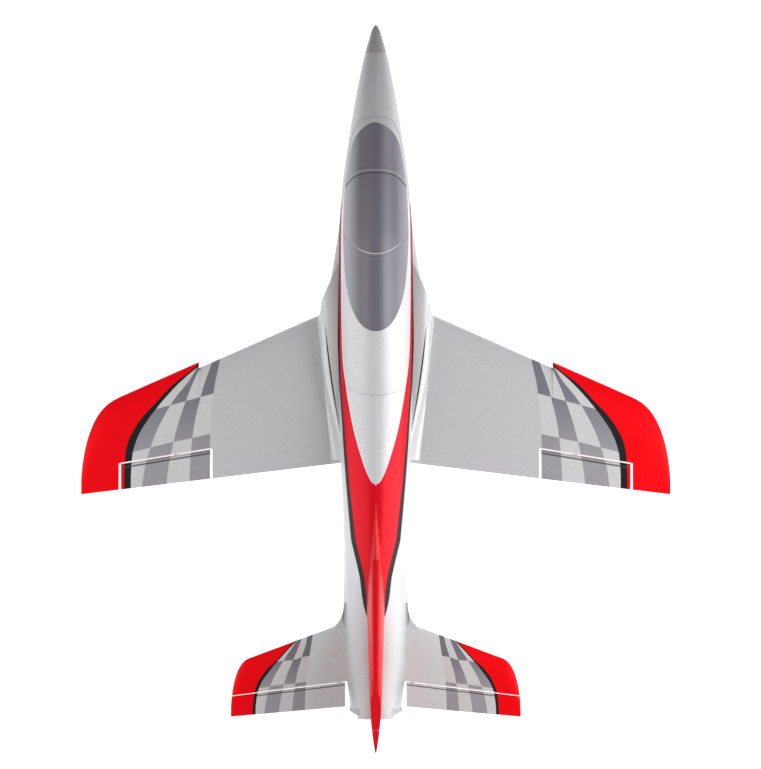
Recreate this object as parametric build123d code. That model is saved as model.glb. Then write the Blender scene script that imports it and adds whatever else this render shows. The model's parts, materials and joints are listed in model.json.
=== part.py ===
from build123d import *
import math
import os

# Radio-controlled foam sport jet with an electric ducted fan.
# Millimetres.  +X starboard, +Y towards the nose, +Z up, ground at Z = 0.
# The design works in stations: a station is the distance aft of the nose tip,
# and heights are measured from the thrust line.

# ---- overall sizes -------------------------------------------------------
LENGTH = 952.6              # nose tip to the fin's top trailing corner
SPAN = 777.4
THRUST_HEIGHT = 112.0       # thrust line above the ground, on its wheels
FIN_OVERHANG = 40.0         # fin tip behind the tail end
TAIL_END = LENGTH - FIN_OVERHANG
SEMI_SPAN = SPAN / 2

# ---- body shell ----------------------------------------------------------
WALL = 6.5                  # moulded foam wall
SEAM = 0.15                 # glue line between mating foam pieces
NOSE_CAP_LENGTH = 37.0
# share of LENGTH, half width, top, bottom, height of the widest point
BODY = [
    (0.0006, 1.5, -13.5, -16.5, -15.0),
    (0.004, 4.1, -11.0, -19.2, -15.0),
    (0.020, 9.2, -5.4, -24.0, -14.8),
    (0.043, 15.2, 1.0, -28.5, -14.2),
    (0.089, 24.4, 12.5, -35.5, -12.5),
    (0.136, 32.4, 24.5, -41.0, -10.0),
    (0.172, 37.5, 38.5, -44.0, -7.0),
    (0.209, 42.9, 51.0, -46.0, -5.0),
    (0.252, 46.8, 59.0, -47.2, -2.0),
    (0.300, 48.6, 62.0, -47.8, 0.0),
    (0.350, 50.0, 60.0, -48.0, 0.0),
    (0.420, 50.0, 51.5, -48.0, 0.0),
    (0.500, 48.8, 46.0, -48.0, 0.0),
    (0.600, 46.5, 43.5, -47.0, -2.0),
    (0.690, 42.3, 41.5, -41.0, -6.0),
    (0.760, 41.6, 39.0, -36.0, -7.0),
    (0.822, 43.4, 36.0, -33.0, -5.0),
    (0.900, 40.0, 33.0, -30.5, -3.0),
    (0.962, 36.6, 30.0, -28.5, -1.0),
]
BODY_ROUND_TOP = 2.0        # superellipse exponents of the two halves
BODY_ROUND_BOTTOM = 2.5
SECTION_POINTS = 18
TAIL_CORNER_SETBACK = 15.0  # the tail end is an arc in plan

# ---- intake trunks and leading-edge strakes ------------------------------
TRUNK_INNER = 34.0
# station, outer half width, top, bottom
TRUNK = [
    (290.0, 71.0, 12.0, -28.0),
    (372.0, 72.5, 12.5, -30.0),
    (420.0, 72.0, 12.0, -33.0),
    (455.0, 69.0, 11.0, -35.0),
    (487.0, 64.0, 9.5, -37.0),
    (520.0, 55.5, 8.0, -39.0),
    (552.0, 48.5, 6.0, -40.0),
    (590.0, 42.5, 4.0, -40.0),
]
TRUNK_ROUND = 4.5
LIP_INNER = (46.0, 306.0)   # half width and station of the raked mouth
LIP_OUTER = (73.0, 366.0)
# station, half width of the strake edge
STRAKE = [
    (250.0, 46.5),
    (276.0, 49.8),
    (309.0, 54.7),
    (335.0, 59.3),
    (351.0, 63.0),
    (364.0, 69.0),
    (374.0, 72.8),
    (392.0, 72.2),
    (430.0, 66.0),
]
STRAKE_HEIGHT = 8.5
STRAKE_HALF_THICKNESS = 3.6

# ---- intake ducts --------------------------------------------------------
DUCT_LINER = 0.9
MOUTH_INNER = 48.5
MOUTH_OUTER = 69.0
MOUTH_TOP = 6.5
MOUTH_BOTTOM = -23.5
DUCT_START = 290.0

# ---- fan unit ------------------------------------------------------------
FAN_BORE = 51.2
FAN_HOUSING_WALL = 1.9
FAN_FRONT = 562.0
FAN_LENGTH = 50.0
ROTOR_GAP = 0.6
ROTOR_BLADES = 11
HUB_DIAMETER = 23.0
SPINNER_LENGTH = 10.5
STATOR_VANES = 5
VANE_HALF_CHORD = 9.0
MOTOR_DIAMETER = 21.8
MOTOR_LENGTH = 30.0
SHAFT_RADIUS = 1.5
RUNNING_GAP = 0.05          # radial clearance of every pin and shaft
NOZZLE_BORE = 44.0
NOZZLE_WALL = 2.5
NOZZLE_LENGTH = 24.0
NOZZLE_STANDOFF = 0.6       # the ring stands this far behind the tail end
THRUST_TUBE_WALL = 0.8

# ---- wing ----------------------------------------------------------------
WING_HEIGHT = -28.0
ROOT_LE = (77.0, 382.6)     # half span and station at the root joint
ROOT_TE = (57.7, 577.9)
LE_SWEEP = 0.443            # station gained per unit of half span
TE_SWEEP = 0.1215
DOGTOOTH_FROM_TIP = 155.7
DOGTOOTH_STEP = 8.2
TIP_LENGTH = 51.9
ROOT_THICKNESS = 0.104
TIP_THICKNESS = 0.090
EDGE_THICKNESS = 1.6        # trailing edge of every surface
FAIRING_LEAD = 10.0         # the root fillet starts this far ahead of the root's leading edge
FAIRING_LAG = 5.0           # and ends this far ahead of its trailing edge
FAIRING_SECTIONS = 12
SPAR_RADIUS = 4.0
SPAR_BORE = 2.6
SPAR_STATION = 462.0
SPAR_HALF_LENGTH = 190.0
SPAR_HEIGHT = -29.5

# ---- ailerons ------------------------------------------------------------
AILERON_OUTER_FROM_TIP = 53.1
AILERON_INNER_FROM_TIP = 170.7
AILERON_END_GAP = 2.9
AILERON_CHORD_INNER = 38.5  # hinge line ahead of the trailing edge
AILERON_CHORD_OUTER = 34.0
HINGE_GAP = 0.8
RUDDER_FOOT_GAP = 1.8       # the hinge leans back, so the rudder's foot dips as it turns
BEVEL = 33.0                # half angle of the V cut at each hinge

# ---- tail surfaces -------------------------------------------------------
TAILPLANE_HEIGHT = 8.0
TAIL_SEMI_SPAN = 190.7
TAIL_ROOT_X = 40.0
TAIL_ROOT_LE = LENGTH - 167.0
TAIL_ROOT_TE = LENGTH - 56.2
TAIL_LE_SWEEP = 0.374
TAIL_TE_SWEEP = 0.0889
TAIL_TIP_LENGTH = 24.0
TAIL_THICKNESS = 0.085
TAIL_FILLET_REACH = 15.0    # outboard of the root
TAIL_FILLET_LEAD = 26.0     # ahead of the root's leading edge
TAIL_FILLET_HALF = 2.8
ELEVATOR_CHORD = 32.2       # at the root
ELEVATOR_CHORD_TAPER = -0.036
ELEVATOR_ROOT_X = 40.2
TAIL_SPAR_RADIUS = 2.5
TAIL_SPAR_STATION = LENGTH - 108.0
TAIL_SPAR_INNER = 27.5
TAIL_SPAR_OUTER = 120.0

# ---- fin and rudder ------------------------------------------------------
FIN_BASE_HEIGHT = 30.0
FIN_DATUM = 40.0            # height at which the base chord is given
FIN_TOP = 148.0
FIN_BASE_LE = LENGTH - 263.0
FIN_BASE_TE = LENGTH - 41.0
FIN_TOP_LE = LENGTH - 88.0
FIN_THICKNESS = 0.106       # at the datum height
FIN_TOP_THICKNESS = 0.160
RUDDER_BOTTOM = 60.0
RUDDER_CHORD_BOTTOM = 52.0
RUDDER_CHORD_TOP = 30.0
DORSAL_START = LENGTH - 324.0
DORSAL_HALF_WIDTH = 12.0

# ---- hatch and canopy ----------------------------------------------------
HATCH_FRONT = 121.0
HATCH_REAR = 488.0
HATCH_ARC = 24.0            # how far the front and rear joints bow
HATCH_SPLIT = 14.0          # height of the joint with the body
HATCH_GAP = 0.35
GLAZING_THICKNESS = 1.2
GLAZING_PROUD = 0.5
# station, half width of the glazing's edge
CANOPY = [
    (129.5, 0.0),
    (135.0, 14.5),
    (146.0, 25.6),
    (171.0, 34.1),
    (202.0, 39.3),
    (243.0, 42.1),
    (278.0, 43.1),
    (303.0, 42.1),
    (337.0, 39.5),
    (366.0, 33.8),
    (388.0, 24.2),
    (400.0, 12.8),
    (403.5, 0.0),
]
# half span and station of the raised windscreen bow and of the joint across the glazing
WINDSCREEN_BOW = [
    (0.0, 192.5),
    (14.0, 193.5),
    (26.0, 197.0),
    (38.0, 208.0),
    (46.0, 219.0),
]
CANOPY_JOINT = [
    (0.0, 302.0),
    (20.0, 297.0),
    (34.0, 287.0),
    (46.0, 273.0),
]
BOW_WIDTH = 5.0
BOW_PROUD = 0.8
JOINT_WIDTH = 1.4
JOINT_DEPTH = 0.6
MAGNET_RADIUS = 4.0
MAGNET_LENGTH = 3.0
MAGNET_X = 13.0
MAGNET_STATION = 140.0
CAVITY_FRONT = 150.0
CAVITY_REAR = 898.0

# ---- belly cover ---------------------------------------------------------
COVER_FRONT = 530.0
COVER_REAR = 650.0
COVER_HALF_WIDTH = 29.0
COVER_GAP = 0.3
COVER_THICKNESS = 3.0
PAD_LENGTH = 70.0
PAD_HALF_WIDTH = 16.0
PAD_FACE = -49.5            # height of the flat underside
SCREW_RADIUS = 1.2
SCREW_HEAD_RADIUS = 2.4

# ---- radio gear ----------------------------------------------------------
BATTERY = (34.0, 105.0, 24.0)       # width, length, height
BATTERY_FRONT = 205.0
TRAY_THICKNESS = 2.0
STRAP_THICKNESS = 1.2
STRAP_WIDTH = 16.0
CONTROLLER = (26.0, 52.0, 9.0)
CONTROLLER_FRONT = 322.0
RECEIVER = (22.0, 38.0, 10.0)
RECEIVER_FRONT = 384.0
EQUIPMENT_FLOOR = -37.0
SERVO_LENGTH = 20.0
SERVO_WIDTH = 8.6
SERVO_HEIGHT = 17.0
SERVO_SHAFT_OFFSET = 5.2
SERVO_EAR = 4.0
SERVO_BOSS_RADIUS = 3.2
SERVO_BOSS_HEIGHT = 2.0
SERVO_SHAFT_RADIUS = 1.9
SERVO_POCKET_GAP = 0.2

# ---- control linkages ----------------------------------------------------
HORN_RADIUS = 12.0          # hinge axis to pushrod pivot, same on the arm
ARM_THICKNESS = 2.0
ARM_HUB_RADIUS = 3.4
ARM_TIP_RADIUS = 2.2
PIVOT_PIN_RADIUS = 0.75
ROD_RADIUS = 0.9
ROD_OFFSET = 2.4            # rod centre beside the arm's middle plane
AILERON_HORN_X = 262.0
AILERON_ROD = 52.0
ELEVATOR_HORN_X = 47.0
ELEVATOR_ROD = 66.0
ELEVATOR_SERVO_DROP = 10.2

# ---- landing gear --------------------------------------------------------
WIRE_RADIUS = 1.6
NOSE_LEG_STATION = 168.0
NOSE_WHEEL_RADIUS = 20.0
NOSE_WHEEL_WIDTH = 11.0
NOSE_FORK_OFFSET = 11.0
MAIN_LEG_STATION = 522.0
MAIN_LEG_X = 116.0
MAIN_WHEEL_RADIUS = 23.0
MAIN_WHEEL_WIDTH = 13.0
HUB_SHARE = 0.58            # hub radius as a share of the wheel's
GEAR_BLOCK = (16.0, 34.0, 7.0)
COLLAR_RADIUS = 3.2
COLLAR_LENGTH = 3.0
BEND_RADIUS = 4.0


# ==== helpers =============================================================
def place(x, station, height):
    """Point of the row frame from half span, station and height."""
    return Vector(x, LENGTH / 2 - station, THRUST_HEIGHT + height)


def blend(rows, key):
    """Values between the rows of a table, with a monotone cubic in each column."""
    if key <= rows[0][0]:
        return rows[0][1:]
    if key >= rows[-1][0]:
        return rows[-1][1:]
    index = max(i for i in range(len(rows) - 1) if rows[i][0] <= key)
    low, high = rows[index], rows[index + 1]
    step = high[0] - low[0]
    t = (key - low[0]) / step
    values = []
    for column in range(1, len(low)):
        slopes = [column_slope(rows, index + side, column) for side in (0, 1)]
        a = (2 * t**3 - 3 * t**2 + 1) * low[column]
        b = (t**3 - 2 * t**2 + t) * step * slopes[0]
        c = (3 * t**2 - 2 * t**3) * high[column]
        d = (t**3 - t**2) * step * slopes[1]
        values.append(a + b + c + d)
    return values


def column_slope(rows, index, column):
    """Slope of one table column at a row: zero at a peak, else the harmonic mean."""
    def secant(i):
        return (rows[i + 1][column] - rows[i][column]) / (rows[i + 1][0] - rows[i][0])
    if index == 0:
        return secant(0)
    if index == len(rows) - 1:
        return secant(index - 1)
    before, after = secant(index - 1), secant(index)
    if before * after <= 0:
        return 0.0
    return 2 * before * after / (before + after)


def closed_curve(points):
    return Wire([Edge.make_spline(points, periodic=True)])


def oval(station, inner, outer, top, bottom, middle, round_top, round_bottom):
    """Superellipse section across the body at one station."""
    centre = (inner + outer) / 2
    half = (outer - inner) / 2
    points = []
    for i in range(SECTION_POINTS):
        angle = 2 * math.pi * (i + 0.5) / SECTION_POINTS
        c, s = math.cos(angle), math.sin(angle)
        power = round_top if s >= 0 else round_bottom
        rise = (top - middle) if s >= 0 else (middle - bottom)
        x = centre + half * math.copysign(abs(c) ** (2 / power), c)
        height = middle + rise * math.copysign(abs(s) ** (2 / power), s)
        points.append(place(x, station, height))
    return closed_curve(points)


def loft(wires, ruled=False):
    return Solid.make_loft(wires, ruled=ruled)


def prism(outline, low, high):
    """Upright prism over an outline of (half span, station) points."""
    points = [place(x, station, low) for x, station in outline]
    face = Face(Wire.make_polygon(points, close=True))
    return Solid.extrude(face, Vector(0, 0, high - low))


def block(x_range, station_range, height_range):
    """Box between two corners given in half span, station and height."""
    corners = [(x_range[0], station_range[0]), (x_range[1], station_range[0]),
               (x_range[1], station_range[1]), (x_range[0], station_range[1])]
    return prism(corners, height_range[0], height_range[1])


def rod(start, end, radius):
    """Round bar between two points."""
    axis = end - start
    return Solid.make_cylinder(radius, axis.length, Plane(origin=start, z_dir=axis))


def cone(start, end, radius, end_radius):
    axis = end - start
    return Solid.make_cone(radius, end_radius, axis.length, Plane(origin=start, z_dir=axis))


def slab(origin, out, across, outline, low, high):
    """Prism of an outline drawn in the plane of two unit vectors, from low to high along their normal."""
    normal = out.cross(across)
    points = [origin + out * a + across * b + normal * low for a, b in outline]
    face = Face(Wire.make_polygon(points, close=True))
    return Solid.extrude(face, normal * (high - low))


def fused(shapes):
    result = shapes[0]
    for shape in shapes[1:]:
        result = result + shape
    return result


def largest(shape):
    """The one real solid of a cut, without slivers."""
    return max(shape.solids(), key=lambda solid: solid.volume)


def port(shape):
    """The same piece on the other side."""
    return mirror(shape, about=Plane.YZ)


# ==== body ================================================================
def body_section(share, grow, whole):
    """Body section at a share of the length: whole, or its starboard half closed by a straight line."""
    half, top, bottom, middle = blend(BODY, share)
    station = share * LENGTH
    if whole:
        return oval(station, -half - grow, half + grow, top + grow, bottom - grow,
                    middle, BODY_ROUND_TOP, BODY_ROUND_BOTTOM)
    points = []
    steps = 12
    for i in range(steps + 1):
        angle = math.pi / 2 - math.pi * i / steps
        c, s = max(math.cos(angle), 0.0), math.sin(angle)
        power = BODY_ROUND_TOP if s >= 0 else BODY_ROUND_BOTTOM
        rise = (top + grow - middle) if s >= 0 else (middle - bottom + grow)
        height = middle + rise * math.copysign(abs(s) ** (2 / power), s)
        points.append(place((half + grow) * c ** (2 / power), station, height))
    points[0].X = 0.0
    points[-1].X = 0.0
    skin = Edge.make_spline(points, tangents=[Vector(1, 0, 0), Vector(-1, 0, 0)])
    return Wire([skin, Edge.make_line(points[-1], points[0])])


def body_loft(grow, first_share, last_share, count=20, whole=True):
    """Body surface grown outwards, between two shares of the length."""
    wires = []
    for i in range(count):
        share = first_share + (last_share - first_share) * i / (count - 1)
        if first_share < 0.01 and last_share > 0.5:
            share = first_share + (last_share - first_share) * (i / (count - 1)) ** 1.5
        wires.append(body_section(share, grow, whole))
    return loft(wires)


def tail_trimmer():
    """Everything behind the arc of the tail end."""
    centre_arc = Edge.make_three_point_arc(
        place(-60, TAIL_END - 3.2 * TAIL_CORNER_SETBACK, -200),
        place(0, TAIL_END, -200),
        place(60, TAIL_END - 3.2 * TAIL_CORNER_SETBACK, -200))
    back = [Edge.make_line(place(60, TAIL_END - 3.2 * TAIL_CORNER_SETBACK, -200), place(60, TAIL_END + 60, -200)),
            Edge.make_line(place(60, TAIL_END + 60, -200), place(-60, TAIL_END + 60, -200)),
            Edge.make_line(place(-60, TAIL_END + 60, -200), place(-60, TAIL_END - 3.2 * TAIL_CORNER_SETBACK, -200))]
    return Solid.extrude(Face(Wire([centre_arc] + back)), Vector(0, 0, 400))


def trunk_right():
    wires = []
    for i in range(11):
        station = TRUNK[0][0] + (TRUNK[-1][0] - TRUNK[0][0]) * i / 10
        outer, top, bottom = blend(TRUNK, station)
        wires.append(oval(station, TRUNK_INNER, outer, top, bottom, (top + bottom) / 2,
                          TRUNK_ROUND, TRUNK_ROUND))
    return largest(loft(wires) - ahead_of_lips(0))


def ahead_of_lips(setback):
    """Everything ahead of the raked intake mouth."""
    rake = (LIP_OUTER[1] - LIP_INNER[1]) / (LIP_OUTER[0] - LIP_INNER[0])
    near, far = 20.0, 90.0
    return prism([(near, 200), (far, 200), (far, LIP_OUTER[1] + (far - LIP_OUTER[0]) * rake + setback),
                  (near, LIP_INNER[1] - (LIP_INNER[0] - near) * rake + setback)], -80, 60)


def strake_right():
    wires = []
    for i in range(12):
        station = STRAKE[0][0] + (STRAKE[-1][0] - STRAKE[0][0]) * i / 11
        (edge,) = blend(STRAKE, station)
        wires.append(oval(station, 24, edge, STRAKE_HEIGHT + STRAKE_HALF_THICKNESS,
                          STRAKE_HEIGHT - STRAKE_HALF_THICKNESS, STRAKE_HEIGHT, 2.2, 2.2))
    return loft(wires)


def duct_section(station, grow):
    """Duct outline at one station: a rounded box at the mouth, half of the fan's circle at the fan."""
    t = (station - DUCT_START) / (FAN_FRONT - DUCT_START)
    t = min(max((t - 0.25) / 0.75, 0), 1)
    t = t * t * (3 - 2 * t)
    radius = FAN_BORE / 2 - 1.8
    half_height = (1 - t) * (MOUTH_TOP - MOUTH_BOTTOM) / 2 + t * (radius - 1.0)
    middle = (1 - t) * (MOUTH_TOP + MOUTH_BOTTOM) / 2
    inner = (1 - t) * MOUTH_INNER + t * 1.6
    power = (1 - t) * 4.0 + t * 3.0
    points = []
    for i in range(SECTION_POINTS):
        angle = 2 * math.pi * (i + 0.5) / SECTION_POINTS
        c, s = math.cos(angle), math.sin(angle)
        rise = half_height * math.copysign(abs(s) ** (2 / power), s)
        arc = math.sqrt(radius**2 - rise**2 * (radius - 1.0) ** 2 / half_height**2) - 1.6
        width = (1 - t) * (MOUTH_OUTER - MOUTH_INNER) + t * arc
        across = 0.5 + 0.5 * math.copysign(abs(c) ** (2 / power), c)
        x = inner - grow + (width + 2 * grow) * across
        points.append(place(x, station, middle + rise * (half_height + grow) / half_height))
    return closed_curve(points)


def duct_right(grow, start=DUCT_START):
    stations = [start + (FAN_FRONT - start) * i / 9 for i in range(10)]
    return loft([duct_section(station, grow) for station in stations])


# ==== lifting surfaces ====================================================
def aerofoil(x, leading, trailing, height, thickness, upright=False):
    """Symmetric section with a blunt trailing edge, as three edges."""
    chord = trailing - leading
    upper, lower = [], []
    for i in range(15):
        u = (1 - math.cos(math.pi * i / 14)) / 2
        half = 5 * thickness * (0.2969 * math.sqrt(u) - 0.126 * u - 0.3516 * u**2
                                + 0.2843 * u**3 - 0.1036 * u**4) * chord
        half += u * min(EDGE_THICKNESS / 2, 0.06 * chord)
        station = leading + u * chord
        if upright:
            upper.append(place(x + half, station, height))
            lower.append(place(x - half, station, height))
        else:
            upper.append(place(x, station, height + half))
            lower.append(place(x, station, height - half))
    lower[0] = upper[0]
    back = Edge.make_line(upper[-1], lower[-1])
    return Wire([Edge.make_spline(upper), back, Edge.make_spline(list(reversed(lower)))])


def wing_leading(x):
    """Station of the wing's leading edge, outboard of the dog-tooth too."""
    tooth = SEMI_SPAN - DOGTOOTH_FROM_TIP
    start = SEMI_SPAN - TIP_LENGTH
    station = ROOT_LE[1] + LE_SWEEP * (min(x, start) - ROOT_LE[0])
    if x > tooth:
        station -= DOGTOOTH_STEP
    if x > start:
        station += tip_sweep(x, start, SEMI_SPAN, LE_SWEEP, station, wing_trailing(SEMI_SPAN))
    return station


def tip_sweep(x, start, end, sweep, edge, trailing):
    """How far a quarter-ellipse tip curves back, starting tangent to the leading edge."""
    u = min((x - start) / (end - start), 1)
    return sweep * (x - start) * (1 - u) ** 2 + (trailing - edge - 2.0) * (1 - math.sqrt(1 - u * u))


def wing_trailing(x):
    return ROOT_TE[1] + TE_SWEEP * (x - ROOT_TE[0])


def wing_thickness(x):
    share = (x - ROOT_LE[0]) / (SEMI_SPAN - ROOT_LE[0])
    return ROOT_THICKNESS + (TIP_THICKNESS - ROOT_THICKNESS) * min(max(share, 0), 1)


def wing_section(x, leading):
    return aerofoil(x, leading, wing_trailing(x), WING_HEIGHT, wing_thickness(x))


def tip_stations(start, end):
    return [start + (end - start) * share for share in (0, 0.3, 0.55, 0.75, 0.88, 0.955, 0.99)]


def wing_solid_right():
    """Whole wing from inside the body to the tip, control surfaces included."""
    tooth = SEMI_SPAN - DOGTOOTH_FROM_TIP
    start = SEMI_SPAN - TIP_LENGTH
    root_x = TRUNK_INNER
    inboard = loft([wing_section(root_x, wing_leading(root_x)),
                    wing_section(tooth, wing_leading(tooth))], ruled=True)
    outboard = loft([wing_section(tooth, wing_leading(tooth) - DOGTOOTH_STEP),
                     wing_section(start, wing_leading(start))], ruled=True)
    tip = loft([wing_section(x, wing_leading(x)) for x in tip_stations(start, SEMI_SPAN)])
    return fused([inboard, outboard, tip])


def root_plane_side(outboard):
    """Region outboard or inboard of the slanted plane where the wing joins the body."""
    slope = (ROOT_LE[0] - ROOT_TE[0]) / (ROOT_TE[1] - ROOT_LE[1])
    front, rear = 200.0, 700.0
    gap = SEAM if outboard else 0.0
    x_front = ROOT_LE[0] + slope * (ROOT_LE[1] - front) + gap
    x_rear = ROOT_LE[0] + slope * (ROOT_LE[1] - rear) + gap
    far = SEMI_SPAN + 60 if outboard else 0.0
    return prism([(x_front, front), (far, front), (far, rear), (x_rear, rear)], -80, 60)


def fairing_right():
    """Concave fillet from the trunk's side down to the wing root."""
    wires = []
    slope = (ROOT_LE[0] - ROOT_TE[0]) / (ROOT_TE[1] - ROOT_LE[1])
    front, rear = ROOT_LE[1] - FAIRING_LEAD, ROOT_TE[1] - FAIRING_LAG
    for i in range(FAIRING_SECTIONS + 1):
        station = front + (rear - front) * i / FAIRING_SECTIONS
        outer, top, bottom = blend(TRUNK, station)
        foot = min(ROOT_LE[0] - slope * (station - ROOT_LE[1]), outer + 0.2 + 0.45 * (station - front))
        u = max(0.0, (station - wing_leading(foot)) / (wing_trailing(foot) - wing_leading(foot)))
        half = 5 * ROOT_THICKNESS * (0.2969 * math.sqrt(u) - 0.126 * u - 0.3516 * u**2
                                     + 0.2843 * u**3 - 0.1036 * u**4)
        skin = WING_HEIGHT + half * (wing_trailing(foot) - wing_leading(foot)) + 0.5
        side = outer - 1.5
        shoulder = top - 6.0
        low_inner = place(TRUNK_INNER + 2, station, WING_HEIGHT)
        corners = [low_inner, place(foot, station, WING_HEIGHT), place(foot, station, skin),
                   place(side, station, shoulder), place(TRUNK_INNER + 2, station, shoulder)]
        bend = Edge.make_bezier(corners[2], place((side * 3 + foot) / 4, station, skin + 1.5), corners[3])
        wires.append(Wire([Edge.make_line(corners[0], corners[1]), Edge.make_line(corners[1], corners[2]),
                           bend, Edge.make_line(corners[3], corners[4]), Edge.make_line(corners[4], corners[0])]))
    return loft(wires, ruled=True)


class Hinge:
    """Hinge line of a control surface: a point on it, and unit vectors along, ahead and up."""

    def __init__(self, inner, outer, height):
        self.inner = place(inner[0], inner[1], height)
        self.along = (place(outer[0], outer[1], height) - self.inner).normalized()
        self.up = Vector(0, 0, 1)
        self.ahead = self.up.cross(self.along)

    def at(self, x):
        return self.inner + self.along * ((x - self.inner.X) / self.along.X)


def aileron_hinge():
    inner = SEMI_SPAN - AILERON_INNER_FROM_TIP
    outer = SEMI_SPAN - AILERON_OUTER_FROM_TIP
    return Hinge((inner, wing_trailing(inner) - AILERON_CHORD_INNER),
                 (outer, wing_trailing(outer) - AILERON_CHORD_OUTER), WING_HEIGHT)


def tail_leading(x):
    start = TAIL_SEMI_SPAN - TAIL_TIP_LENGTH
    station = TAIL_ROOT_LE + TAIL_LE_SWEEP * (min(x, start) - TAIL_ROOT_X)
    if x > start:
        station += tip_sweep(x, start, TAIL_SEMI_SPAN, TAIL_LE_SWEEP, station, tail_trailing(TAIL_SEMI_SPAN))
    return station


def tail_trailing(x):
    return TAIL_ROOT_TE + TAIL_TE_SWEEP * (x - TAIL_ROOT_X)


def tail_section(x):
    return aerofoil(x, tail_leading(x), tail_trailing(x), TAILPLANE_HEIGHT, TAIL_THICKNESS)


def tail_solid_right():
    start = TAIL_SEMI_SPAN - TAIL_TIP_LENGTH
    inboard = loft([tail_section(30), tail_section(start)], ruled=True)
    tip = loft([tail_section(x) for x in tip_stations(start, TAIL_SEMI_SPAN)])
    return inboard + tip


def tail_fillet_right():
    """Flat web that eases the body's side into the tailplane's leading edge."""
    inner, outer = TAIL_ROOT_X - 6.0, TAIL_ROOT_X + TAIL_FILLET_REACH
    front = TAIL_ROOT_LE - TAIL_FILLET_LEAD
    rear = tail_leading(outer) + 8.0
    low = TAILPLANE_HEIGHT - TAIL_FILLET_HALF
    curve = Edge.make_bezier(place(TAIL_ROOT_X + 1.0, front, low), place(TAIL_ROOT_X + 3.0, TAIL_ROOT_LE - 4.0, low),
                             place(outer, tail_leading(outer) + 0.6, low))
    corners = [curve @ 1, place(outer, rear, low), place(inner, rear, low), place(inner, front, low), curve @ 0]
    edges = [curve] + [Edge.make_line(corners[i], corners[i + 1]) for i in range(4)]
    return Solid.extrude(Face(Wire(edges)), Vector(0, 0, 2 * TAIL_FILLET_HALF))


def elevator_hinge():
    inner = ELEVATOR_ROOT_X
    outer = TAIL_SEMI_SPAN - 4
    span = outer - inner
    return Hinge((inner, tail_trailing(inner) - ELEVATOR_CHORD),
                 (outer, tail_trailing(outer) - ELEVATOR_CHORD - ELEVATOR_CHORD_TAPER * span),
                 TAILPLANE_HEIGHT)


def behind_hinge(hinge, ahead, x_inner, x_outer, depth=90.0):
    """Upright prism behind a line parallel to the hinge, between two half spans."""
    def corner(x, shift):
        point = hinge.at(x) + hinge.ahead * shift
        return Vector(x, point.Y + (x - point.X) * hinge.along.Y / hinge.along.X, THRUST_HEIGHT - 80)
    points = [corner(x_inner, ahead), corner(x_outer, ahead),
              corner(x_outer, ahead) - Vector(0, depth, 0), corner(x_inner, ahead) - Vector(0, depth, 0)]
    return Solid.extrude(Face(Wire.make_polygon(points, close=True)), Vector(0, 0, 300))


def bevelled(surface, hinge, x_inner, x_outer):
    """A control surface with its V-shaped nose, the point of the V on the hinge axis."""
    reach = 30.0
    lean = math.tan(math.radians(BEVEL)) * reach
    middle = hinge.at(x_inner) - hinge.along * 20
    length = (hinge.at(x_outer) - middle).length + 20
    for side in (1, -1):
        points = [middle, middle + hinge.up * reach * side + hinge.ahead * reach,
                  middle + hinge.up * reach * side - hinge.ahead * lean]
        face = Face(Wire.make_polygon([points[0], points[0] + hinge.ahead * reach, points[1], points[2]], close=True))
        surface = surface - Solid.extrude(face, hinge.along * length)
    return largest(surface)


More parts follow.
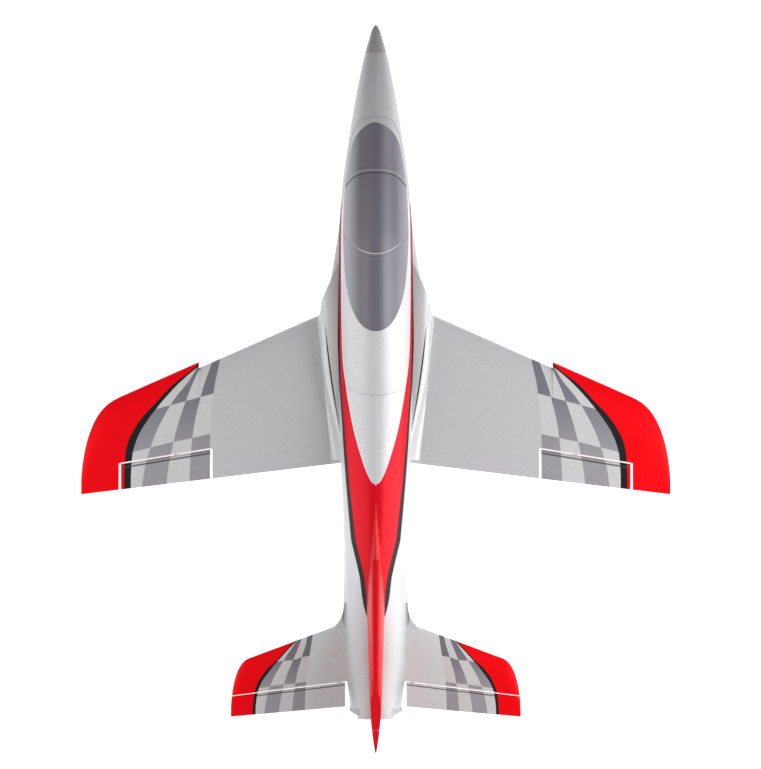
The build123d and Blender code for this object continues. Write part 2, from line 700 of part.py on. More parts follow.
# ==== linkages ============================================================
class Linkage:
    """Servo, arm, pushrod and horn as an exact parallelogram below a hinge line."""

    def __init__(self, hinge, x, length, drop):
        self.hinge = hinge
        self.pivot = hinge.at(x)
        self.down = -hinge.up
        self.shaft = self.pivot + Vector(0, length, 0) + self.down * drop
        self.rod_front = self.shaft + self.down * HORN_RADIUS
        self.rod_rear = self.pivot + self.down * HORN_RADIUS

    def servo(self):
        """Servo lying on its side, inboard of the arm, with a bored boss for its shaft."""
        h = self.hinge
        top = -ARM_THICKNESS / 2 - SERVO_BOSS_HEIGHT - 0.3
        front = SERVO_SHAFT_OFFSET
        rear = SERVO_SHAFT_OFFSET - SERVO_LENGTH
        half = SERVO_WIDTH / 2
        outline = [(front, -half), (front, half), (rear, half), (rear, -half)]
        case = slab(self.shaft, h.ahead, h.up, outline, top - SERVO_HEIGHT, top)
        ears = [(front + SERVO_EAR, -half), (front + SERVO_EAR, half),
                (rear - SERVO_EAR, half), (rear - SERVO_EAR, -half)]
        lug = slab(self.shaft, h.ahead, h.up, ears, top - 5.0, top - 3.5)
        boss = rod(self.shaft + h.along * (top - 0.5), self.shaft + h.along * (top + SERVO_BOSS_HEIGHT),
                   SERVO_BOSS_RADIUS)
        bore = rod(self.shaft + h.along * (top - 4), self.shaft + h.along * (top + SERVO_BOSS_HEIGHT + 1),
                   SERVO_SHAFT_RADIUS + RUNNING_GAP)
        return fused([case, lug, boss]) - bore

    def pocket(self, sideways=False):
        """Room for the case, its ears, the arm and the rod's end, open downwards or outboard."""
        h = self.hinge
        top = -ARM_THICKNESS / 2 - SERVO_BOSS_HEIGHT - 0.3
        gap = SERVO_POCKET_GAP
        half = SERVO_WIDTH / 2 + gap
        front = SERVO_SHAFT_OFFSET + SERVO_EAR + gap
        rear = SERVO_SHAFT_OFFSET - SERVO_LENGTH - SERVO_EAR - gap
        outline = [(front, -40), (front, half), (rear, half), (rear, -40)]
        if sideways:
            outline = [(front, -half), (front, half), (rear, half), (rear, -half)]
        reach = 40.0 if sideways else ROD_OFFSET + 2.5
        return slab(self.shaft, h.ahead, h.up, outline, top - SERVO_HEIGHT - gap, reach)

    def arm(self):
        """Arm with the output shaft that turns in the servo's boss."""
        h = self.hinge
        half = ARM_THICKNESS / 2
        hub = rod(self.shaft - h.along * half, self.shaft + h.along * half, ARM_HUB_RADIUS)
        tip = rod(self.rod_front - h.along * half, self.rod_front + h.along * half, ARM_TIP_RADIUS)
        web = slab(self.shaft, h.ahead, h.up, [(-2.2, 0), (2.2, 0), (1.4, -HORN_RADIUS), (-1.4, -HORN_RADIUS)],
                   -half, half)
        shaft = rod(self.shaft - h.along * (half + SERVO_BOSS_HEIGHT + 3), self.shaft, SERVO_SHAFT_RADIUS)
        hole = rod(self.rod_front - h.along * 5, self.rod_front + h.along * 5, PIVOT_PIN_RADIUS + RUNNING_GAP)
        return largest(fused([hub, tip, web, shaft]) - hole)

    def pushrod(self):
        """Wire with a bent end through each hole."""
        h = self.hinge
        offset = h.along * ROD_OFFSET
        tail = h.along * (ARM_THICKNESS / 2 + 1.0)
        reach = (self.rod_rear - self.rod_front).normalized() * (PIVOT_PIN_RADIUS + 0.25)
        bar = rod(self.rod_front + offset - reach, self.rod_rear + offset + reach, ROD_RADIUS)
        pins = [rod(point - tail, point + offset, PIVOT_PIN_RADIUS) for point in (self.rod_front, self.rod_rear)]
        return fused([bar] + pins)

    def horn(self, surface):
        """Plate on the surface's underside, its hole straight below the hinge axis."""
        h = self.hinge
        half = ARM_THICKNESS / 2
        outline = [(-6.5, 1), (-17, 1), (-17, -3.5), (1.6, -HORN_RADIUS - 2.2), (2.4, -HORN_RADIUS + 2.0)]
        plate = slab(self.pivot, h.ahead, h.up, outline, -half, half)
        hole = rod(self.rod_rear - h.along * 5, self.rod_rear + h.along * 5, PIVOT_PIN_RADIUS + RUNNING_GAP)
        flange = slab(self.pivot, h.ahead, h.up, [(-6.5, 1), (-17, 1), (-17, -6.2), (-6.5, -6.2)], -3.5, 3.5)
        return largest(fused([plate, flange]) - hole - surface)


# ==== pieces ==============================================================
def hatch_zone(gap):
    """Upright prism that holds the hatch, bowed at the front and rear."""
    side = 56.0
    front, rear = HATCH_FRONT + gap, HATCH_REAR - gap
    level = HATCH_SPLIT + gap
    a = place(-side, front + 2.2 * HATCH_ARC, level)
    b = place(side, front + 2.2 * HATCH_ARC, level)
    c = place(side, rear - HATCH_ARC, level)
    d = place(-side, rear - HATCH_ARC, level)
    edges = [Edge.make_three_point_arc(a, place(0, front, level), b), Edge.make_line(b, c),
             Edge.make_three_point_arc(c, place(0, rear, level), d), Edge.make_line(d, a)]
    return Solid.extrude(Face(Wire(edges)), Vector(0, 0, 90))


def canopy_prism():
    right = [place(half, station, -60) for station, half in CANOPY]
    left = [place(-half, station, -60) for station, half in reversed(CANOPY[1:-1])]
    return Solid.extrude(Face(closed_curve(right + left)), Vector(0, 0, 200))


def arched_band(arch, width):
    """Upright prism over a band across the canopy, along an arch given by its starboard half."""
    points = [(-x, station) for x, station in reversed(arch[1:])] + arch
    front = Edge.make_spline([place(x, station - width / 2, 0) for x, station in points])
    rear = Edge.make_spline([place(x, station + width / 2, 0) for x, station in points])
    sides = [Edge.make_line(front @ 0, rear @ 0), Edge.make_line(front @ 1, rear @ 1)]
    return Solid.extrude(Face(Wire([front, rear] + sides)), Vector(0, 0, 90))


def glazing_shell():
    """Canopy moulding with its raised windscreen bow and the groove of the joint behind it."""
    def skin(proud, front, rear, count):
        return body_loft(proud, front / LENGTH, rear / LENGTH, count)
    front, rear = CANOPY[0][0] - 10, CANOPY[-1][0] + 10
    inside = skin(GLAZING_PROUD - GLAZING_THICKNESS, front - 5, rear + 5, 12)
    outside = skin(GLAZING_PROUD, front, rear, 12)
    bow_front, bow_rear = WINDSCREEN_BOW[0][1] - 20, WINDSCREEN_BOW[-1][1] + 20
    bow = skin(GLAZING_PROUD + BOW_PROUD, bow_front, bow_rear, 8) & arched_band(WINDSCREEN_BOW, BOW_WIDTH)
    joint_front, joint_rear = CANOPY_JOINT[-1][1] - 20, CANOPY_JOINT[0][1] + 20
    groove = arched_band(CANOPY_JOINT, JOINT_WIDTH) - skin(GLAZING_PROUD - JOINT_DEPTH, joint_front, joint_rear, 8)
    edge = canopy_prism() & block((-60, 60), (100, 420), (HATCH_SPLIT + 2, 90))
    return largest((outside + bow - inside - groove) & edge)


def servo_upright(shaft, up, ahead, grow=0.0):
    """Servo with its shaft along up; the boss is bored for the shaft of what it turns."""
    out = up.cross(ahead)
    half = SERVO_WIDTH / 2 + grow
    front, rear = SERVO_SHAFT_OFFSET + grow, SERVO_SHAFT_OFFSET - SERVO_LENGTH - grow
    outline = [(front, -half), (front, half), (rear, half), (rear, -half)]
    low = -SERVO_BOSS_HEIGHT - SERVO_HEIGHT - grow
    high = -SERVO_BOSS_HEIGHT + grow
    case = slab(shaft, ahead, out, outline, low, high)
    if grow > 0:
        return case
    boss = rod(shaft - up * (SERVO_BOSS_HEIGHT + 0.5), shaft, SERVO_BOSS_RADIUS)
    bore = rod(shaft - up * 6, shaft + up, SERVO_SHAFT_RADIUS + RUNNING_GAP)
    return fused([case, boss]) - bore


def fan_parts():
    """Housing with stator vanes, motor, rotor and spinner."""
    front, rear = place(0, FAN_FRONT, 0), place(0, FAN_FRONT + FAN_LENGTH, 0)
    aft = Vector(0, -1, 0)
    outer = FAN_BORE / 2 + FAN_HOUSING_WALL
    tube = rod(front, rear, outer) - rod(front - aft, rear + aft, FAN_BORE / 2)
    motor_front = FAN_FRONT + 25
    motor_rear = motor_front + MOTOR_LENGTH
    barrel = rod(place(0, motor_front, 0), place(0, motor_rear + 3, 0), HUB_DIAMETER / 2 + 0.6)
    vanes = []
    for i in range(STATOR_VANES):
        angle = 2 * math.pi * (i + 0.25) / STATOR_VANES
        outward = Vector(math.cos(angle), 0, math.sin(angle))
        side = outward.cross(aft)
        outline = [(HUB_DIAMETER / 2 - 0.5, -0.9), (FAN_BORE / 2 + 0.6, -0.9),
                   (FAN_BORE / 2 + 0.6, 0.9), (HUB_DIAMETER / 2 - 0.5, 0.9)]
        vanes.append(slab(place(0, motor_front + 12, 0), outward, side, outline, -VANE_HALF_CHORD, VANE_HALF_CHORD))
    housing = fused([tube, barrel] + vanes)
    socket = rod(place(0, motor_front - 1, 0), place(0, motor_rear, 0), MOTOR_DIAMETER / 2)
    breather = rod(place(0, motor_rear - 1, 0), place(0, motor_rear + 5, 0), 6.0)
    housing = largest(housing - socket - breather)
    motor = rod(place(0, motor_front, 0), place(0, motor_rear, 0), MOTOR_DIAMETER / 2)
    motor = motor - rod(place(0, motor_front - 1, 0), place(0, motor_front + 20, 0), SHAFT_RADIUS + RUNNING_GAP)
    rotor_front = FAN_FRONT + 11
    rotor_rear = motor_front - 1.2
    hub = rod(place(0, rotor_front, 0), place(0, rotor_rear, 0), HUB_DIAMETER / 2)
    shaft = rod(place(0, rotor_front, 0), place(0, motor_front + 16, 0), SHAFT_RADIUS)
    blades = [rotor_blade((rotor_front + rotor_rear) / 2, i) for i in range(ROTOR_BLADES)]
    rotor = fused([hub, shaft] + blades)
    tip = place(0, rotor_front - SPINNER_LENGTH, 0)
    half = HUB_DIAMETER / 2
    profile = [Edge.make_line(tip, place(0, rotor_front, 0)),
               Edge.make_line(place(0, rotor_front, 0), place(half, rotor_front, 0)),
               Edge.make_spline([place(half, rotor_front, 0), place(half * 0.85, rotor_front - SPINNER_LENGTH * 0.5, 0),
                                 place(half * 0.5, rotor_front - SPINNER_LENGTH * 0.86, 0), tip],
                                tangents=[Vector(0, 1, 0), Vector(-1, 0, 0)])]
    spinner = Solid.revolve(Face(Wire(profile)), 360, Axis(place(0, 0, 0), (0, 1, 0)))
    return housing, motor, rotor, spinner


def rotor_blade(station, index):
    """Twisted blade from inside the hub to the tip."""
    angle = 2 * math.pi * index / ROTOR_BLADES
    outward = Vector(math.cos(angle), 0, math.sin(angle))
    side = outward.cross(Vector(0, 1, 0))
    wires = []
    for radius, pitch, chord in ((HUB_DIAMETER / 2 - 1.5, 50, 10.0), (FAN_BORE / 2 - ROTOR_GAP, 28, 12.0)):
        lean = math.radians(pitch)
        run = Vector(0, 1, 0) * math.sin(lean) + side * math.cos(lean)
        thick = Vector(0, 1, 0) * math.cos(lean) - side * math.sin(lean)
        centre = place(0, station, 0) + outward * radius
        corners = [centre + run * (chord / 2) * a + thick * 0.5 * b for a, b in ((-1, -1), (1, -1), (1, 1), (-1, 1))]
        wires.append(Wire.make_polygon(corners, close=True))
    return loft(wires, ruled=True)


def tube_cone(front, rear, front_radius, rear_radius, wall):
    axis = rear - front
    outer = cone(front, rear, front_radius, rear_radius)
    extend = axis.normalized()
    slope = (rear_radius - front_radius) / axis.length
    inner = cone(front - extend, rear + extend, front_radius - wall - slope, rear_radius - wall + slope)
    return outer - inner


def fin_edges(height):
    share = (height - FIN_DATUM) / (FIN_TOP - FIN_DATUM)
    leading = FIN_BASE_LE + (FIN_TOP_LE - FIN_BASE_LE) * share
    trailing = FIN_BASE_TE + (LENGTH - FIN_BASE_TE) * share
    return leading, trailing


def fin_solid():
    def section(height, trim=0.0):
        leading, trailing = fin_edges(height)
        share = (height - FIN_DATUM) / (FIN_TOP - FIN_DATUM)
        thickness = FIN_THICKNESS + (FIN_TOP_THICKNESS - FIN_THICKNESS) * share
        return aerofoil(0, leading + trim, trailing, height, thickness, upright=True)
    trunk = loft([section(FIN_BASE_HEIGHT), section(FIN_TOP - 6)], ruled=True)
    cap = loft([section(FIN_TOP - 6), section(FIN_TOP, trim=7.0)], ruled=True)
    return trunk + cap


def dorsal_solid():
    """Low ridge that grows out of the spine into the fin's leading edge."""
    wires = []
    for i in range(6):
        share = i / 5
        station = DORSAL_START + (FIN_BASE_LE + 40 - DORSAL_START) * share
        crest = blend(BODY, station / LENGTH)[1] + 1.0 + 12.0 * share**1.6
        half = 2.0 + (DORSAL_HALF_WIDTH - 2.0) * share
        wires.append(oval(station, -half, half, crest, 31, 34, 1.6, 2.0))
    return loft(wires)


def rudder_hinge():
    """Point and direction of the rudder's axis, and unit vectors ahead and across."""
    _, bottom = fin_edges(RUDDER_BOTTOM)
    _, top = fin_edges(FIN_TOP)
    low = place(0, bottom - RUDDER_CHORD_BOTTOM, RUDDER_BOTTOM)
    high = place(0, top - RUDDER_CHORD_TOP, FIN_TOP)
    along = (high - low).normalized()
    across = Vector(1, 0, 0)
    ahead = across.cross(along) * -1
    return low, along, ahead, across


def wheel_parts(centre, radius, width):
    """Hub and tyre on an axle along X."""
    hub_radius = radius * HUB_SHARE
    half = width / 2
    x = Vector(1, 0, 0)
    hub = rod(centre - x * half * 0.85, centre + x * half * 0.85, hub_radius)
    for side in (1, -1):
        inner = centre + x * side * half * 0.45
        dish = rod(inner, centre + x * side * half * 1.2, hub_radius - 2.0)
        boss = rod(inner, centre + x * side * half * 0.85, WIRE_RADIUS + 2.0)
        hub = hub - (dish - boss)
    hub = hub - rod(centre - x * width, centre + x * width, WIRE_RADIUS + RUNNING_GAP)
    up = Vector(0, 0, 1)
    inner_low = centre + up * hub_radius - x * half * 0.8
    inner_high = centre + up * hub_radius + x * half * 0.8
    crown = Edge.make_spline([inner_high, centre + up * (radius - 3.2) + x * half, centre + up * radius,
                              centre + up * (radius - 3.2) - x * half, inner_low])
    face = Face(Wire([Edge.make_line(inner_low, inner_high), crown]))
    tyre = Solid.revolve(face, 360, Axis(centre, (1, 0, 0)))
    return largest(hub), tyre


def wire_leg(points, bends):
    """Bent spring-steel wire along a path of points."""
    path = FilletPolyline(*points, radius=bends)
    section = Plane(origin=points[0], z_dir=points[1] - points[0]) * Circle(WIRE_RADIUS)
    return sweep(section, path=path)


# ==== assembly ============================================================
def wing_parts(parts):
    """Right wing panel, aileron, its linkage, the spar and the gear block; returns what the body needs."""
    wing = wing_solid_right()
    hinge = aileron_hinge()
    inner = SEMI_SPAN - AILERON_INNER_FROM_TIP
    outer = SEMI_SPAN - AILERON_OUTER_FROM_TIP
    aileron = bevelled(wing & behind_hinge(hinge, 0, inner, outer), hinge, inner, outer)
    link = Linkage(hinge, AILERON_HORN_X, AILERON_ROD, 0)
    ends = [place(side * SPAR_HALF_LENGTH, SPAR_STATION, SPAR_HEIGHT) for side in (-1, 1)]
    spar = rod(ends[0], ends[1], SPAR_RADIUS)
    pocket = block((MAIN_LEG_X - GEAR_BLOCK[0] / 2, MAIN_LEG_X + GEAR_BLOCK[0] / 2),
                   (MAIN_LEG_STATION - GEAR_BLOCK[1] / 2, MAIN_LEG_STATION + GEAR_BLOCK[1] / 2),
                   (WING_HEIGHT - 30, WING_HEIGHT + GEAR_BLOCK[2] / 4))
    leg, _ = main_leg()
    panel = wing & root_plane_side(True)
    panel = panel - behind_hinge(hinge, HINGE_GAP, inner - AILERON_END_GAP, outer + AILERON_END_GAP)
    panel = panel - link.pocket() - spar - pocket
    parts["wing_right"] = largest(panel)
    parts["aileron_right"] = aileron
    parts["aileron_horn_right"] = link.horn(aileron)
    parts["aileron_arm_right"] = link.arm()
    parts["aileron_rod_right"] = link.pushrod()
    parts["aileron_servos"] = largest(link.servo())
    parts["wing_spar"] = largest(spar - rod(ends[0] * 1.1 - ends[1] * 0.1, ends[1] * 1.1 - ends[0] * 0.1, SPAR_BORE))
    parts["gear_blocks"] = largest((pocket & wing) - leg)
    stub = wing & root_plane_side(False)
    return stub, spar


def tail_parts(parts):
    """Right half of the tailplane with its elevator and linkage; returns what the body needs."""
    tail = tail_solid_right()
    hinge = elevator_hinge()
    elevator = bevelled(tail & behind_hinge(hinge, 0, ELEVATOR_ROOT_X, TAIL_SEMI_SPAN + 5), hinge,
                        ELEVATOR_ROOT_X, TAIL_SEMI_SPAN)
    link = Linkage(hinge, ELEVATOR_HORN_X, ELEVATOR_ROD, ELEVATOR_SERVO_DROP)
    spar = rod(place(TAIL_SPAR_INNER, TAIL_SPAR_STATION, TAILPLANE_HEIGHT),
               place(TAIL_SPAR_OUTER, TAIL_SPAR_STATION, TAILPLANE_HEIGHT), TAIL_SPAR_RADIUS)
    panel = tail - behind_hinge(hinge, HINGE_GAP, 0, TAIL_SEMI_SPAN + 20)
    parts["tailplane_right"] = largest(panel - spar)
    parts["elevator_right"] = elevator
    parts["elevator_horn_right"] = link.horn(elevator)
    parts["elevator_arm_right"] = link.arm()
    parts["elevator_rod_right"] = link.pushrod()
    parts["elevator_servos"] = largest(link.servo())
    parts["tailplane_spars"] = spar
    return link


def main_leg():
    """Right main leg wire and the centre of its wheel."""
    axle_height = -THRUST_HEIGHT + MAIN_WHEEL_RADIUS
    outboard = MAIN_LEG_X + 4 + MAIN_WHEEL_WIDTH / 2 + 2.0
    top = place(MAIN_LEG_X, MAIN_LEG_STATION, WING_HEIGHT - 2.5)
    low = place(MAIN_LEG_X, MAIN_LEG_STATION, axle_height)
    end = place(outboard + MAIN_WHEEL_WIDTH / 2 + COLLAR_LENGTH + 1.5, MAIN_LEG_STATION, axle_height)
    wire = wire_leg([top, low, end], [BEND_RADIUS])
    centre = place(outboard, MAIN_LEG_STATION, axle_height)
    collars = []
    for side in (-1, 1):
        start = centre + Vector(side * (MAIN_WHEEL_WIDTH / 2 * 0.85 + 0.3), 0, 0)
        collars.append(rod(start, start + Vector(side * COLLAR_LENGTH, 0, 0), COLLAR_RADIUS))
    return largest(fused([wire] + collars)), centre


def nose_leg():
    """Nose leg with the shaft that turns in the steering servo, and its wheel's centre."""
    axle_height = -THRUST_HEIGHT + NOSE_WHEEL_RADIUS
    station = NOSE_LEG_STATION
    side = NOSE_FORK_OFFSET
    clear = axle_height + NOSE_WHEEL_RADIUS + 9
    points = [place(0, station, steering_shaft_height() + 3.5), place(0, station, clear), place(side, station, clear - 6),
              place(side, station, axle_height), place(-NOSE_WHEEL_WIDTH / 2 - COLLAR_LENGTH - 1.5, station, axle_height)]
    wire = wire_leg(points, [3.0, 3.0, BEND_RADIUS])
    centre = place(0, station, axle_height)
    collars = []
    for sign in (-1, 1):
        start = centre + Vector(sign * (NOSE_WHEEL_WIDTH / 2 * 0.85 + 0.3), 0, 0)
        length = COLLAR_LENGTH if sign < 0 else 1.5
        collars.append(rod(start, start + Vector(sign * length, 0, 0), COLLAR_RADIUS))
    socket = rod(place(0, station, steering_shaft_height() + 3.5), place(0, station, steering_shaft_height() - 6), SERVO_SHAFT_RADIUS)
    return largest(fused([wire, socket] + collars)), centre


def steering_shaft_height():
    """Height of the steering servo's lower face, where the leg enters it."""
    return -30.0


def steering_parts(parts):
    station = NOSE_LEG_STATION
    shaft = place(0, station, steering_shaft_height())
    parts["steering_servo"] = largest(servo_upright(shaft, Vector(0, 0, -1), Vector(0, 1, 0)))
    low, high = -39.5, steering_shaft_height() + SERVO_BOSS_HEIGHT
    half = 12.0
    bracket = block((-half, half), (station - 14, station + 22), (low, high))
    recess = rod(place(0, station, low - 1), place(0, station, high + 1), SERVO_SHAFT_RADIUS + RUNNING_GAP)
    well = rod(place(0, station, -36.0), place(0, station, low - 1), 4.0)
    boss = rod(place(0, station, high - SERVO_BOSS_HEIGHT), place(0, station, high + 1), SERVO_BOSS_RADIUS + 0.1)
    parts["nose_gear_bracket"] = largest(bracket - recess - boss - well)


def fin_parts(parts):
    """Rudder, its servo below it, and the fin; returns the fin."""
    low, along, ahead, across = rudder_hinge()
    whole = fin_solid() + dorsal_solid()
    above = block((-40, 40), (DORSAL_START, LENGTH + 60), (RUDDER_BOTTOM, RUDDER_BOTTOM + 200))
    behind = slab(low, ahead, along, [(0, -60), (-90, -60), (-90, 150), (0, 150)], -40, 40)
    rudder = whole & behind & above
    lean = math.tan(math.radians(BEVEL)) * 30
    start = low - along * 50
    for side in (1, -1):
        points = [start, start + ahead * 30, start + ahead * 30 + across * 30 * side,
                  start + across * 30 * side - ahead * lean]
        face = Face(Wire.make_polygon(points, close=True))
        rudder = rudder - Solid.extrude(face, along * 260)
    servo_face = low - along * 5.0
    shaft = rod(servo_face - along * 3.5, low + along * 8, SERVO_SHAFT_RADIUS)
    parts["rudder"] = largest(largest(rudder) + shaft)
    parts["rudder_servo"] = largest(servo_upright(servo_face, along, ahead))
    gap_above = block((-40, 40), (DORSAL_START, LENGTH + 60), (RUDDER_BOTTOM - RUDDER_FOOT_GAP, RUDDER_BOTTOM + 200))
    gap_behind = slab(low, ahead, along, [(HINGE_GAP, -60), (-90, -60), (-90, 150), (HINGE_GAP, 150)], -40, 40)
    pocket = servo_upright(servo_face, along, ahead, SERVO_POCKET_GAP)
    door = pocket.moved(Location(Vector(-SERVO_WIDTH, 0, 0)))
    well = rod(servo_face - along * 3, low + along * 9, SERVO_BOSS_RADIUS + 0.2)
    return largest(whole - (gap_above & gap_behind) - pocket - door - well)


def body_shell(parts, stub, wing_spar, tail_link, fin):
    """The two moulded halves, the nose cap, the belly cover and the hatch with its canopy."""
    cap_zone = block((-60, 60), (-20, NOSE_CAP_LENGTH), (-80, 60))
    nose = body_loft(0, BODY[0][0], 2 * NOSE_CAP_LENGTH / LENGTH, 9)
    parts["nose_cap"] = largest(nose & cap_zone)
    lid_shares = ((HATCH_FRONT - 15) / LENGTH, (HATCH_REAR + 15) / LENGTH)
    lid_outer = body_loft(0, lid_shares[0], lid_shares[1], 14)
    lid_cavity = body_loft(-WALL, CAVITY_FRONT / LENGTH, lid_shares[1], 12)

    # hatch, with a recess for the glazing
    lid_zone = hatch_zone(HATCH_GAP)
    glazing = glazing_shell()
    magnets = [rod(place(side * MAGNET_X, MAGNET_STATION, HATCH_SPLIT + HATCH_GAP),
                   place(side * MAGNET_X, MAGNET_STATION, HATCH_SPLIT + HATCH_GAP + MAGNET_LENGTH), MAGNET_RADIUS)
               for side in (-1, 1)]
    parts["hatch_magnets"] = Compound(magnets)
    parts["canopy_glazing"] = glazing
    parts["hatch_shell"] = largest((lid_outer & lid_zone) - lid_cavity - glazing - magnets[0] - magnets[1])

    # belly cover with its flat pad
    shares = ((COVER_FRONT - 20) / LENGTH, (COVER_REAR + 20) / LENGTH)
    cover_inside = body_loft(-COVER_THICKNESS, shares[0] - 0.01, shares[1] + 0.01, 8)
    seat_inside = body_loft(-COVER_THICKNESS - COVER_GAP, shares[0] - 0.01, shares[1] + 0.01, 8)
    cover_zone = block((-COVER_HALF_WIDTH, COVER_HALF_WIDTH), (COVER_FRONT, COVER_REAR), (-80, -25))
    grown = block((-COVER_HALF_WIDTH - COVER_GAP, COVER_HALF_WIDTH + COVER_GAP),
                  (COVER_FRONT - COVER_GAP, COVER_REAR + COVER_GAP), (-80, -25))
    centre = (COVER_FRONT + COVER_REAR) / 2
    pad = block((-PAD_HALF_WIDTH, PAD_HALF_WIDTH), (centre - PAD_LENGTH / 2, centre + PAD_LENGTH / 2),
                (PAD_FACE, PAD_FACE + 6))
    screws = cover_screws()
    cover_outer = body_loft(0, shares[0], shares[1], 8)
    cover = largest(((cover_outer & cover_zone) + pad) - cover_inside - fused(screws))
    parts["belly_cover"] = cover
    parts["cover_screws"] = Compound(screws)

    # right half, everything added before anything is taken away
    half = body_loft(0, BODY[0][0], BODY[-1][0], 22, whole=False) - tail_trimmer()
    half = half + fused([trunk_right(), strake_right(), fairing_right(), stub]) + tail_fillet_right()
    cavity = body_loft(-WALL, CAVITY_FRONT / LENGTH, CAVITY_REAR / LENGTH, 18, whole=False)
    for zone in former_zones():
        cavity = cavity - zone
    half = half - cavity
    front, rear = thrust_tube_ends()
    bores = [duct_right(DUCT_LINER + 0.1), hatch_zone(0), cap_zone, grown - seat_inside,
             block((-22, 22), (COVER_FRONT + 8, COVER_REAR - 8), (-80, -25)),
             cone(place(0, FAN_FRONT - 6, 0), rear, FAN_BORE / 2 + FAN_HOUSING_WALL + 0.2, nozzle_radius() + 0.1),
             rod(rear, place(0, TAIL_END + 30, 0), nozzle_radius() + 0.1),
             wing_spar, parts["tailplane_right"], parts["tailplane_spars"], fin, parts["rudder_servo"],
             tail_link.pocket(sideways=True), parts["nose_gear_bracket"],
             rod(place(0, NOSE_LEG_STATION, -70), place(0, NOSE_LEG_STATION, -36), 5.0),
             block((-12, 12), (NOSE_LEG_STATION - 14, NOSE_LEG_STATION + 22), (-40, 20)),
             magnets[1].moved(Location(Vector(0, 0, -MAGNET_LENGTH - HATCH_GAP)))] + screws
    for bore in bores:
        half = half - bore
    parts["fuselage_right_half"] = largest(half)


def former_zones():
    """Bulkheads, the equipment floor and the tail ring inside the shell."""
    zones = [block((0, 60), (station - 3, station + 3), (-60, 60)) for station in (615.0, 700.0, 775.0)]
    zones.append(block((0, 60), (TAIL_SPAR_STATION - 7, TAIL_SPAR_STATION + 7), (-60, 60)))
    zones.append(block((0, 60), (CAVITY_FRONT - 5, 432), (-60, EQUIPMENT_FLOOR)))
    return zones


def cover_screws():
    screws = []
    for x in (-COVER_HALF_WIDTH + 3.5, COVER_HALF_WIDTH - 3.5):
        for station in (COVER_FRONT + 4, COVER_REAR - 4):
            half, _, bottom, middle = blend(BODY, station / LENGTH)
            bulge = (1 - (abs(x) / half) ** BODY_ROUND_BOTTOM) ** (1 / BODY_ROUND_BOTTOM)
            skin = middle + (bottom - middle) * bulge
            head = rod(place(x, station, skin - 0.6), place(x, station, skin + 1.0), SCREW_HEAD_RADIUS)
            shank = rod(place(x, station, skin + 1.0), place(x, station, skin + 7.5), SCREW_RADIUS)
            screws.append(head + shank)
    return screws


def nozzle_radius():
    return NOZZLE_BORE / 2 + NOZZLE_WALL


def thrust_tube_ends():
    rear = TAIL_END + NOZZLE_STANDOFF - NOZZLE_LENGTH
    return place(0, FAN_FRONT + FAN_LENGTH + 0.2, 0), place(0, rear, 0)


def propulsion_parts(parts):
    housing, motor, rotor, spinner = fan_parts()
    parts["fan_housing"] = housing
    parts["fan_motor"] = motor
    parts["fan_rotor"] = rotor
    parts["fan_spinner"] = spinner
    front, rear = thrust_tube_ends()
    gap = Vector(0, 0.2, 0)
    parts["thrust_tube"] = tube_cone(front, rear + gap, FAN_BORE / 2 + THRUST_TUBE_WALL,
                                     NOZZLE_BORE / 2 + THRUST_TUBE_WALL, THRUST_TUBE_WALL)
    end = place(0, TAIL_END + NOZZLE_STANDOFF, 0)
    parts["exhaust_nozzle"] = rod(rear, end, nozzle_radius()) - rod(rear + gap, end - gap, NOZZLE_BORE / 2)
    outside = duct_right(DUCT_LINER)
    liner = outside - duct_right(0) - ahead_of_lips(1.5)
    ends = block((-5, 90), (FAN_FRONT - 0.3, FAN_FRONT + 5), (-60, 60))
    parts["intake_duct_right"] = largest(liner - ends)


def equipment_parts(parts):
    """Battery with its tray and strap, speed controller and receiver, all on the floor."""
    floor = EQUIPMENT_FLOOR
    width, length, height = BATTERY
    rear = BATTERY_FRONT + length
    seat = floor + TRAY_THICKNESS
    middle = (BATTERY_FRONT + rear) / 2
    tray = block((-width / 2, width / 2), (BATTERY_FRONT - 4, rear + 4), (floor, seat))
    slots = block((-width, width), (middle - STRAP_WIDTH / 2 - 0.2, middle + STRAP_WIDTH / 2 + 0.2),
                  (floor - 1, floor + STRAP_THICKNESS))
    parts["battery_tray"] = tray - slots
    parts["battery_pack"] = block((-width / 2, width / 2), (BATTERY_FRONT, rear), (seat, seat + height))
    wrap = STRAP_THICKNESS
    around = block((-width / 2 - wrap, width / 2 + wrap), (middle - STRAP_WIDTH / 2, middle + STRAP_WIDTH / 2),
                   (floor, seat + height + wrap))
    parts["battery_strap"] = around - block((-width / 2, width / 2), (middle - 20, middle + 20),
                                            (floor + wrap, seat + height))
    for name, size, start in (("speed_controller", CONTROLLER, CONTROLLER_FRONT),
                              ("receiver", RECEIVER, RECEIVER_FRONT)):
        parts[name] = block((-size[0] / 2, size[0] / 2), (start, start + size[1]), (floor, floor + size[2]))


def gear_parts(parts):
    leg, centre = main_leg()
    hub, tyre = wheel_parts(centre, MAIN_WHEEL_RADIUS, MAIN_WHEEL_WIDTH)
    parts["main_leg_right"] = leg
    parts["main_wheel_right"] = hub
    parts["main_tyre_right"] = tyre
    leg, centre = nose_leg()
    parts["nose_leg"] = leg
    parts["nose_wheel"], parts["nose_tyre"] = wheel_parts(centre, NOSE_WHEEL_RADIUS, NOSE_WHEEL_WIDTH)


